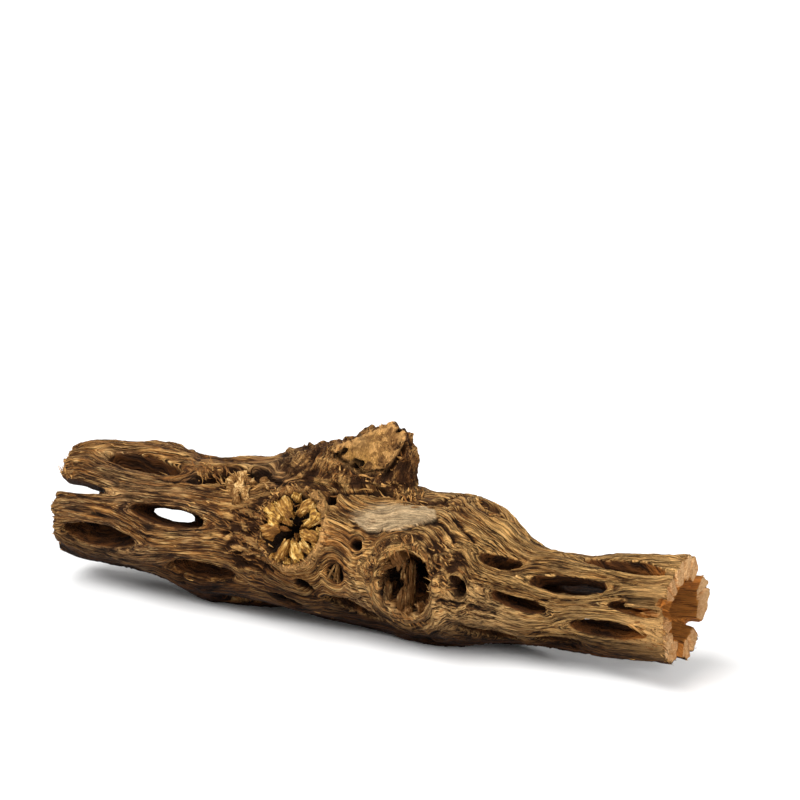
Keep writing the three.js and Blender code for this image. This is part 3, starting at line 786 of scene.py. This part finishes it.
def woodFinish():
    finish = Finish("weatheredCholla")
    between = finish.between
    c = woodColours
    grain = finish.vector("grain")
    place = finish.place()
    broad = finish.fibres(grain, (0.05, 0.30, 0.30), 3.0, 0.55)
    streak = finish.fibres(grain, (0.09, 1.0, 1.0), 4.0, 0.62, 0.25)
    lines = finish.fibres(grain, (0.16, 2.6, 2.6), 3.0, 0.6, 0.35)
    hairs = finish.fibres(grain, (0.35, 6.0, 6.0), 2.0, 0.6, 0.2)
    spots = finish.noise(place, 4.0, 0.6, 0.0, 90.0)
    clouds = finish.noise(place, 2.0, 0.5, 0.0, 42.0)
    grains = finish.noise(place, 2.0, 0.6, 0.0, 900.0)
    # depth: dark grain lines and seams, and painted shade in recesses; it darkens the tone and paints the
    # furrows darkest
    depth = finish.value("depth")
    along = finish.node("ShaderNodeSeparateXYZ", {}, {0: grain})
    nearEnd = between(along, 20.0, 128.0)

    split = finish.fibres(grain, (0.07, 1.15, 1.15), 2.0, 0.5, 0.4)
    check = finish.fibres(grain, (0.16, 2.3, 2.3), 2.0, 0.5, 0.3)
    splits = between(finish.away(split, 0.5), 0.085, 0.02) * between(lines, 0.58, 0.44)
    checks = between(finish.away(check, 0.5), 0.10, 0.03) * between(streak, 0.62, 0.44)

    tone = streak * 0.34 + lines * 0.44 + broad * 0.42 + hairs * 0.36 - 0.315 - depth * 0.32 + nearEnd * 0.20
    stops = [(0.24, c["dark"]), (0.37, c["brown"]), (0.51, c["tan"]), (0.68, c["light"])]
    colour = finish.node("ShaderNodeValToRGB", {"stops": stops}, {"Fac": tone})
    cut = between(lines, 0.46, 0.36) * between(streak, 0.60, 0.42)
    colour = finish.coats(colour, [
        (between(clouds + broad * 0.4, 0.66, 0.86) * 0.4, c["grey"]),
        (between(spots * 0.6 + streak * 0.5, 0.56, 0.74) * 0.45, c["orange"]),
        (cut * 0.5, c["dark"]),
        (splits * 0.95, c["darkest"]),
        (checks * 0.7, c["dark"]),
    ])
    hairShare = between(hairs, 0.46, 0.34) * 0.6
    colour = finish.mix(hairShare, colour, c["brown"], "MULTIPLY")
    # painted highlight: small bright flecks on the grain
    highlightFleck = between(hairs, 0.54, 0.66) * between(lines, 0.46, 0.60)
    # painted shade in furrows and recesses, with the dark grain lines
    furrow = between(depth + lines * 0.5, 0.42, 1.0)
    rough = finish.value("rough")
    crust = finish.noise(place, 3.0, 0.65, 0.6, 520.0)
    # random dark specks of the rough wood, and painted shade where it lies deep
    dirtAndRecessShade = between(crust * 0.6 + spots * 0.4 + depth * 0.35, 0.38, 0.56) * rough
    crumbs = between(crust - depth * 0.4, 0.54, 0.66) * rough
    sandy = between(lines * 0.30 + hairs * 0.30 + crust * 0.40, 0.36, 0.60)
    faceTone = between(spots * 0.6 + crust * 0.4, 0.40, 0.60)
    faceColour = finish.coats(finish.mix(faceTone, c["faceDark"], c["face"]), [
        (between(clouds + spots * 0.3, 0.62, 0.74) * 0.6, c["grey"]),
        (between(crust + clouds * 0.4, 0.60, 0.50) * 0.75, c["dark"]),
        (between(crust + hairs * 0.3, 0.68, 0.78) * 0.6, c["rim"]),
        (furrow * 0.95, c["darkest"]),
    ])
    freshEnd = between(along, 140.0, 151.5) * between(streak + lines * 0.5, 0.55, 0.85)
    fresh = finish.value("fresh") * between(lines * 0.6 + hairs * 0.4, 0.34, 0.50)
    colour = finish.coats(colour, [
        (highlightFleck * 0.55, c["highlightFleck"]),
        (furrow * 0.92, c["darkest"]),
        (dirtAndRecessShade * 0.9, c["dark"]),
        (crumbs * 0.7, c["crumb"]),
        (finish.value("patch") * 0.85, finish.mix(sandy, c["patchDark"], c["patch"])),
        (finish.value("face"), faceColour),
        (between(crust, 0.38, 0.52) * finish.value("rim") * 0.85, c["rim"]),
        (freshEnd * 0.55, c["freshEnd"]),
        (fresh * 0.9, c["freshEnd"]),
    ])
    # painted shade: multiplied darker towards the underside
    colour = finish.mix(finish.value("shade"), colour, c["underShade"], "MULTIPLY")

    # the inside near the open sawn end: partly the orange of the wood there, partly painted light falling
    # into the open end
    mouthLight = between(along, 138.0, 150.0) * between(streak + lines * 0.3, 0.42, 0.7)
    # the inner walls' brown, darker than the wood's own as painted shade
    innerColourAndShade = finish.mix(between(streak + lines * 0.4, 0.5, 0.95), c["insideDark"], c["inside"])
    innerColourAndShade = finish.mix(mouthLight, innerColourAndShade, c["insideLitEnd"])
    marks = finish.fibres(place, (300.0, 900.0, 2600.0), 3.0, 0.6)
    sawnColour = finish.mix(between(marks * 0.5 + spots * 0.5, 0.38, 0.62), c["sawnDark"], c["sawn"])
    colour = finish.coats(colour, [
        (between(finish.value("inner"), 0.20, 0.75), innerColourAndShade),
        (between(finish.value("sawn"), 0.35, 0.75), sawnColour),
    ])

    height = streak * 0.4 + lines * 0.8 + hairs * 0.4 + grains * 0.08 - splits * 0.35 - checks * 0.25
    height = height + crust * rough * 0.9
    return finish.shader(colour, 0.88 - streak * 0.16, (height, 1.0, 0.0009))


# Floor
floorLook = {
    "across": 12.0,
    "colour": (0.975, 0.972, 0.968),
    "shade": (0.985, 0.983, 0.98),
    "roughness": 0.6,
    "specular": 0.2,
}


def makeFloor():
    bpy.ops.mesh.primitive_plane_add(size=floorLook["across"], location=(0, 0, 0))
    floor = bpy.context.object
    floor.name = "paleFloor"
    finish = Finish("paleFloor")
    place = finish.place()
    clouds = finish.noise(place, 2.0, 0.5, 0.0, 2.0)
    colour = finish.mix(clouds, floorLook["colour"], floorLook["shade"])
    floor.data.materials.append(finish.shader(colour, floorLook["roughness"], None, floorLook["specular"]))


# Light: a broad soft light from high on the near left, weak lamps from the near side, from the sawn end and
# from behind, and a pale room
light = {
    "highTurn": (26.0, -22.0, 0.0),
    "highStrength": 2.9,
    "highSoftness": 50.0,
    "lamps": [  # name, place, watts
        ("nearLamp", (0.9, -1.4, 0.9), 4.0),
        ("endLamp", (1.5, -0.5, 0.7), 18.0),
        ("backLamp", (-0.7, 1.5, 1.0), 9.0),
    ],
    "lampAcross": 0.8,
    "room": 0.24,
    "roomColour": (1.0, 0.99, 0.97, 1.0),
}


def makeLight():
    turn = [math.radians(a) for a in light["highTurn"]]
    bpy.ops.object.light_add(type="SUN", location=(0, 0, 2), rotation=turn)
    high = bpy.context.object
    high.name = "highLight"
    high.data.energy = light["highStrength"]
    high.data.angle = math.radians(light["highSoftness"])
    for name, place, watts in light["lamps"]:
        bpy.ops.object.light_add(type="AREA", location=place)
        lamp = bpy.context.object
        lamp.name = name
        lamp.data.shape = "DISK"
        lamp.data.size = light["lampAcross"]
        lamp.data.energy = watts
        lamp.rotation_euler = (-Vector(place)).to_track_quat("-Z", "Y").to_euler()
    world = bpy.data.worlds.new("paleRoom")
    world.use_nodes = True
    room = world.node_tree.nodes["Background"].inputs
    room["Color"].default_value = light["roomColour"]
    room["Strength"].default_value = light["room"]
    scene.world = world
    scene.view_settings.view_transform = "Standard"


# Kernels: crumbly wood that has split into chunks, in the two knots, in a pit and as small lumps. Each row is
# right, up, half along its ray, half across it, lift, paleness and twist
kernels = {
    "cuts": 8,
    "block": 0.45,  # share of the cube
    "ball": 0.66,  # share of the ball
    "taper": 0.26,  # narrower towards the middle of its knot
    "lumpy": 0.24,
    "gritty": 0.26,
    "crumbly": 0.12,
    "warpUp": 0.40,
    "warpAcross": 0.35,
    "star": {
        "piece": "starKernels", "finish": "ochreKernels",
        "place": (65.0, 26.0), "distance": 15.9, "thick": 3.2, "rugged": 0.95,
        "dull": (0.26, 0.090, 0.016), "bright": (0.64, 0.34, 0.065), "highlight": (0.94, 0.68, 0.27),
        "rows": [
            (-2.6, 4, 2.4, 2, 0.3, 0.6, 12), (2.2, 4.9, 2, 1.2, 0.15, 0.45, -12),
            (-5.3, 2.1, 1.9, 1.8, 0.2, 1, -6), (-5.2, -1.3, 2.2, 1.6, -0.05, 0.25, 8),
            (4.7, 2.6, 1.9, 1.5, 0.35, 0.95, 14), (4.7, -0.9, 2, 1.4, 0.1, 0.5, -8),
            (2.1, -4.6, 2.4, 1.3, 0.4, 1, 8), (4.6, -3.6, 1.9, 1, 0.1, 0.7, 0),
            (-0.9, -5.1, 2.2, 1.2, 0.05, 0.4, -8), (-1.9, 1.3, 1.1, 0.7, -0.8, 0.3, 20),
            (2.3, 1, 0.9, 0.4, -0.8, 0.3, 10), (1.3, -1.6, 0.9, 0.4, -0.9, 0.3, -20),
            (-2.4, -0.3, 1, 0.5, -0.8, 0, 0), (-0.5, 6.9, 1, 0.8, 0, 0.9, 0),
            (4.1, 5.3, 0.8, 0.8, 0.1, 0.9, 0), (-5.2, 4.7, 0.9, 0.8, 0, 0.9, 0),
            (6.9, 0.8, 0.6, 0.9, 0.1, 1, 0), (6.4, -3, 0.6, 0.7, 0, 0.9, 0),
            (0.8, -7.2, 0.7, 0.8, 0, 0.8, 0), (-6.5, -4, 0.7, 0.6, 0, 0.3, 0),
            (-3, -6.5, 0.7, 0.6, 0, 0.5, 0),
        ],
    },
    "hollow": {
        "piece": "hollowFlakes", "finish": "brownFlakes",
        "place": (93.3, 4.0), "distance": 13.8, "thick": 2.2, "rugged": 2.2,
        "dull": (0.03, 0.011, 0.004), "bright": (0.22, 0.095, 0.028), "highlight": (0.62, 0.37, 0.14),
        "rows": [
            (-2.7, 4.6, 2, 1.5, 0.5, 0.7, 10), (-4.9, 3, 1.5, 0.9, 0.8, 0.4, 50),
            (-1, 2.4, 1.5, 0.5, 0.1, 0.4, -20), (0.7, -0.6, 3.9, 0.34, 0, 0.7, -50),
            (-0.4, -2, 3, 0.4, 0.2, 0.6, 10), (-1.6, -4.6, 2, 0.9, 0.2, 0.5, 8),
            (0.3, -6.6, 1.4, 1, 0.5, 0.8, 6), (-4.6, -3.2, 1.8, 0.8, 0.6, 0.2, 60),
            (3.6, -5.2, 1.1, 0.8, 0.5, 0.5, 0),
        ],
    },
    "lumps": {
        "piece": "paleLumps", "finish": "paleLumps",
        "place": (49.0, 52.0), "distance": 15.6, "thick": 2.0, "rugged": 0.75,
        "dull": (0.20, 0.085, 0.022), "bright": (0.52, 0.27, 0.080), "highlight": (0.80, 0.54, 0.24),
        "rows": [
            (-2.8, 1.8, 1.1, 1.1, 0.3, 1, 0), (-1.1, 2.8, 1, 1.1, 0.4, 0.8, 0),
            (-0.5, 1, 1.2, 1.2, 0.5, 1, 0), (-2.3, -0.2, 1.1, 1, 0.1, 0.6, 0),
            (1, -0.5, 1.2, 1.2, 0.4, 0.9, 0), (-0.7, -1.6, 1.1, 1, 0.1, 0.4, 0),
            (1.7, 1.7, 1, 1, 0.1, 0.5, 0), (2.3, -2.2, 1, 0.9, 0.1, 0.7, 0),
            (0.4, -3.3, 1, 0.9, 0, 0.3, 0), (4.5, 2.6, 0.9, 0.8, 0, 0.4, 0),
            (5.9, 1.4, 0.8, 0.9, 0, 0.6, 0), (3.7, 0.4, 0.8, 0.8, -0.2, 0.2, 0),
        ],
    },
    "pit": {
        "piece": "pitStrands", "finish": "pitStrands",
        "place": (76.0, -2.0), "distance": 15.3, "thick": 0.7, "rugged": 0.8,
        "dull": (0.16, 0.065, 0.018), "bright": (0.46, 0.24, 0.075), "highlight": (0.66, 0.42, 0.18),
        "rows": [
            (0.2, 0.3, 2.3, 0.24, 0.1, 0.8, 20), (0.7, -0.8, 2.2, 0.2, 0, 0.6, -45),
            (-0.9, 0.2, 1.9, 0.22, 0.2, 0.7, 75), (-0.2, -0.9, 2, 0.18, -0.1, 0.5, 60),
        ],
    },
}


def setKernel(number, group, row):
    u, v, long, wide, lift, pale, twist = row
    at, middle = group["place"]
    axis = outward(middle)
    right = Vector((1.0, 0.0, 0.0))
    up = right.cross(axis)
    if up.z < 0:
        up = -up
    bpy.ops.object.select_all(action="DESELECT")
    bpy.ops.mesh.primitive_cube_add(size=2.0, location=(0, 0, 0))
    block = bpy.context.object
    bpy.ops.object.mode_set(mode="EDIT")
    bpy.ops.mesh.select_all(action="SELECT")
    bpy.ops.mesh.subdivide(number_cuts=kernels["cuts"])
    bpy.ops.object.mode_set(mode="OBJECT")
    points = readPoints(block.data)
    rounded = points / np.linalg.norm(points, axis=1)[:, None]
    points = kernels["block"] * points + kernels["ball"] * rounded
    points[:, 1] *= 0.80 + kernels["taper"] * points[:, 0]
    lumps = softNoise(points * 1.2 + 7.3 * number, 71)
    grit = softNoise(points * np.array([1.3, 5.5, 3.0]) + 3.1 * number, 73)
    crumbs = softNoise(points * np.array([3.0, 7.0, 5.0]) + 5.9 * number, 103)
    rough = group["rugged"] * (kernels["gritty"] * grit + kernels["crumbly"] * crumbs)
    points *= (1 + kernels["lumpy"] * lumps + rough)[:, None]
    points[:, 2] += kernels["warpUp"] * softNoise(points * 1.1 + 11.7 * number, 79)
    points[:, 1] += kernels["warpAcross"] * softNoise(points * 0.9 + 2.7 * number, 107)
    ray = math.atan2(v, u) + math.radians(twist)
    direction = math.cos(ray) * right + math.sin(ray) * up
    side = axis.cross(direction)
    place = limbPoint(at, middle, group["distance"] + lift) + (u * right + v * up) * mm
    sizes = np.array([direction * long * mm, side * wide * mm, axis * 0.5 * group["thick"] * mm])
    writePoints(block.data, points @ sizes + np.array(place))
    keep(block.data, "tone", np.full(len(points), pale))
    keep(block.data, "ray", np.stack([points[:, 0], points[:, 1] + 4.0 * number, points[:, 2]], 1))
    return block


def makeKernels(group):
    made = [setKernel(number, group, row) for number, row in enumerate(group["rows"])]
    piece = joined(made, group["piece"])
    select(piece)
    bpy.ops.object.mode_set(mode="EDIT")
    bpy.ops.mesh.select_all(action="SELECT")
    bpy.ops.mesh.normals_make_consistent(inside=False)
    bpy.ops.object.mode_set(mode="OBJECT")
    bpy.ops.object.shade_smooth()
    return piece


def kernelFinish(group):
    finish = Finish(group["finish"])
    place = finish.place()
    ray = finish.vector("ray")
    fibres = finish.fibres(ray, (0.7, 3.2, 2.2), 3.0, 0.6, 0.5)
    spots = finish.noise(place, 4.0, 0.65, 0.0, 480.0)
    patches = finish.fibres(ray, (0.8, 1.1, 1.1), 3.0, 0.6, 0.6)
    tone = finish.value("tone")
    dark = finish.between(fibres * 0.5 + spots * 0.4 + patches * 0.4, 0.73, 0.56)
    pale = finish.between(fibres * 0.4 + spots * 0.4 + patches * 0.4, 0.61, 0.72) * (tone * 0.8 + 0.2)
    colour = finish.coats(finish.mix(tone, group["dull"], group["bright"]), [
        (dark * 0.95, woodColours["ochreDark"]), (pale * 0.9, group["highlight"]),
    ])
    height = fibres * 0.7 + spots * 0.5
    return finish.shader(colour, 0.56 + spots * 0.2, (height, 0.9, 0.0006))


# Splinters: fibres that have torn loose, one model copied to each of its places
splinter = {
    "seed": 512,
    "sides": 5,
    "rings": 5,
    "tip": 0.12,
    "flat": 0.45,
    "wave": 0.10,
    "sunk": 0.12,
    "clusters": [  # along, angle, spread along and around, count, length, width, lift, lean, sideways
        ("notchTip", 2.5, 39, 3.4, 1.6, 40, 3, 0.34, 0.12, -0.5, -0.9),
        ("farTop", 0.4, 92, 1, 12, 20, 0.8, 0.26, 0.15, -1, 0),
        ("farSide", 0.4, 5, 1, 16, 26, 0.8, 0.26, 0.12, -1, 0),
        ("crevice", 42.5, 62, 7, 2.4, 80, 2.8, 0.34, 0.3, 0.75, 0.65),
        ("lumps", 50, 55, 3.4, 2.6, 20, 1.5, 0.34, 0.15, 0.5, -0.4),
        ("starTop", 60, 50, 8, 2.2, 60, 2.2, 0.3, 0.22, 0.8, -0.5),
        ("stumpFoot", 88, 74, 12, 1.6, 50, 2.8, 0.3, 0.15, 1, 0.25),
        ("stumpTop", 78, 80, 8, 3.2, 60, 1.5, 0.3, 0.45, 0.7, 0.6),
        ("stumpTip", 87, 82, 3.2, 4, 70, 2.2, 0.34, 0.55, 0.5, 0.7),
        ("wrinkles", 54, 11, 5.5, 8.5, 150, 2.2, 0.28, 0.2, 1, 0.45),
        ("starRing", 65, 26, 9, 9, 130, 1.5, 0.28, 0.22, 0.8, 0.5),
        ("hollowRing", 93.3, 4, 8, 9, 90, 2, 0.32, 0.25, 0.5, 0.8),
        ("windowFray", 38.5, 24, 3.5, 1.6, 22, 1.7, 0.28, 0, 0.25, -1),
        ("endLower", 146.5, -16, 6, 4, 50, 4.2, 0.34, 0.02, 1, 0.25),
        ("endEdge", 151.2, 0, 0.5, 36, 120, 1, 0.2, 0.3, 0.8, 0.3),
        ("topHollow", 104, 97, 4, 2.4, 40, 2.2, 0.32, 0.3, 0.9, 0.3),
        ("hollowRight", 102, 22, 3.6, 6.5, 60, 2, 0.3, 0.2, 0.8, 0.5),
    ],
    "oneWay": ("notchTip", "farTop", "farSide", "endLower", "endEdge", "windowFray"),
    "strays": ("strays", 76, 0, 74, 999, 230, 2.6, 0.26, 0.10, 1.0, 0.12),
    "dull": {"wrinkles": 0.30, "hollowRing": 0.7, "crevice": 0.9},
    "barkFacing": 0.35,
    "barkDepth": 2.5,
    "ringFrom": 0.76,
    "root": 0.10,
    "lengths": (0.45, 1.35),
    "widths": (0.6, 1.2),
    "lifts": (0.3, 1.6),
    "bends": (-0.10, 0.28),
    "past": 0.5,
}


def splinterModel():
    bpy.ops.object.select_all(action="DESELECT")
    bpy.ops.mesh.primitive_cone_add(
        vertices=splinter["sides"], radius1=1.0, radius2=splinter["tip"], depth=1.0, location=(0, 0, 0.5),
    )
    model = bpy.context.object
    bpy.ops.object.transform_apply(location=True)
    bpy.ops.object.mode_set(mode="EDIT")
    for ring in range(1, splinter["rings"]):
        bpy.ops.mesh.select_all(action="SELECT")
        bpy.ops.mesh.bisect(plane_co=(0, 0, ring / splinter["rings"]), plane_no=(0, 0, 1))
    bpy.ops.object.mode_set(mode="OBJECT")
    return model


def setSplinter(model, place, direction, side, length, width, bend, twist, pale):
    copy = model.copy()
    copy.data = model.data.copy()
    scene.collection.objects.link(copy)
    points = readPoints(model.data)
    direction = direction / np.linalg.norm(direction)
    side = side - direction * (side @ direction)
    side = side / max(np.linalg.norm(side), 1e-6)
    across = np.cross(direction, side)
    t = points[:, 2]
    belly = np.sin(math.pi * (0.18 + 0.72 * t)) ** 0.7  # thin at the root and at the tip
    wave = splinter["wave"] * np.sin(5.0 * t + twist) * t
    x = points[:, 0] * width * belly + wave * length
    y = points[:, 1] * width * splinter["flat"] * belly + bend * length * t ** 2
    z = (t - splinter["sunk"]) * length
    placed = x[:, None] * across + y[:, None] * side + z[:, None] * direction
    writePoints(copy.data, placed * mm + place)
    keep(copy.data, "grain", np.stack([z + 40 * twist, points[:, 0], points[:, 1]], 1))
    keep(copy.data, "tone", np.full(len(points), pale * (0.5 + 0.5 * math.sin(37 * twist))))
    return copy


def makeSplinters(bearer):
    draw = np.random.default_rng(splinter["seed"])
    points = readPoints(bearer.data)
    normals = readNormals(bearer.data)
    along, distance, angle, radius = limbPlaces(points)
    outwards = outwardEach(angle)
    bark = (normals * outwards).sum(1) > splinter["barkFacing"]
    bark &= distance > radius - splinter["barkDepth"]
    model = splinterModel()
    made = []
    rows = splinter["clusters"] + [splinter["strays"]]
    for name, at, middle, spreadAlong, spreadAround, count, length, width, lift, lean, sideways in rows:
        u, v = aroundFrom((at, middle), along, angle, radius)
        reach = np.hypot(u / spreadAlong, v / spreadAround)
        near = np.nonzero(bark & (reach < 1))[0]
        if name == "strays":
            near = np.nonzero(bark & (np.abs(u) < spreadAlong))[0]
        if name in ("starRing", "hollowRing"):
            near = near[reach[near] > splinter["ringFrom"]]
        for index in draw.choice(near, count):
            normal = normals[index]
            around = np.cross([1.0, 0.0, 0.0], outwards[index])
            flip = 1.0 if name in splinter["oneWay"] else draw.choice([-1.0, 1.0])
            direction = np.array([lean * flip, 0, 0]) + around * (sideways * flip + 0.25 * draw.normal())
            direction = direction + normal * lift * draw.uniform(*splinter["lifts"])
            size = length * draw.uniform(*splinter["lengths"])
            place = points[index] - normal * splinter["root"] * mm
            made.append(setSplinter(
                model, place, direction, -normal, size, width * draw.uniform(*splinter["widths"]),
                draw.uniform(*splinter["bends"]), draw.uniform(0, 6.28), splinter["dull"].get(name, 1.0),
            ))
    bpy.data.objects.remove(model)
    piece = joined(made, "tornFibres")
    points = readPoints(piece.data)
    points[:, 2] = np.maximum(points[:, 2], 0.0)
    points[:, 0] = np.minimum(points[:, 0], (limb["sawnAt"] + limb["shift"][0] + splinter["past"]) * mm)
    writePoints(piece.data, points)
    bpy.ops.object.shade_smooth()
    return piece


def fibreFinish():
    finish = Finish("tornFibre")
    c = woodColours
    grain = finish.vector("grain")
    fibres = finish.fibres(grain, (0.5, 2.0, 2.0), 3.0, 0.6)
    tone = finish.value("tone")
    colour = finish.mix(finish.between(tone, 0.1, 1.3), c["fibreDark"], c["light"])
    colour = finish.mix(finish.between(fibres, 0.40, 0.62) * 0.5, colour, c["fibreRed"])
    return finish.shader(colour, 0.8, (fibres, 0.5, 0.0002))


def dress(piece, finish):
    piece.data.materials.clear()
    piece.data.materials.append(finish)
    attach(piece, "root")


chollaWood = makeWood()
dress(chollaWood, woodFinish())
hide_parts("cholla_skeleton")
print("wood finished")

for groupName in ("star", "hollow", "lumps", "pit"):
    dress(makeKernels(kernels[groupName]), kernelFinish(kernels[groupName]))
print("kernels set")

dress(makeSplinters(chollaWood), fibreFinish())
print("splinters set")

bpy.ops.object.select_all(action="DESELECT")
makeFloor()
makeLight()
print("floor and light placed")
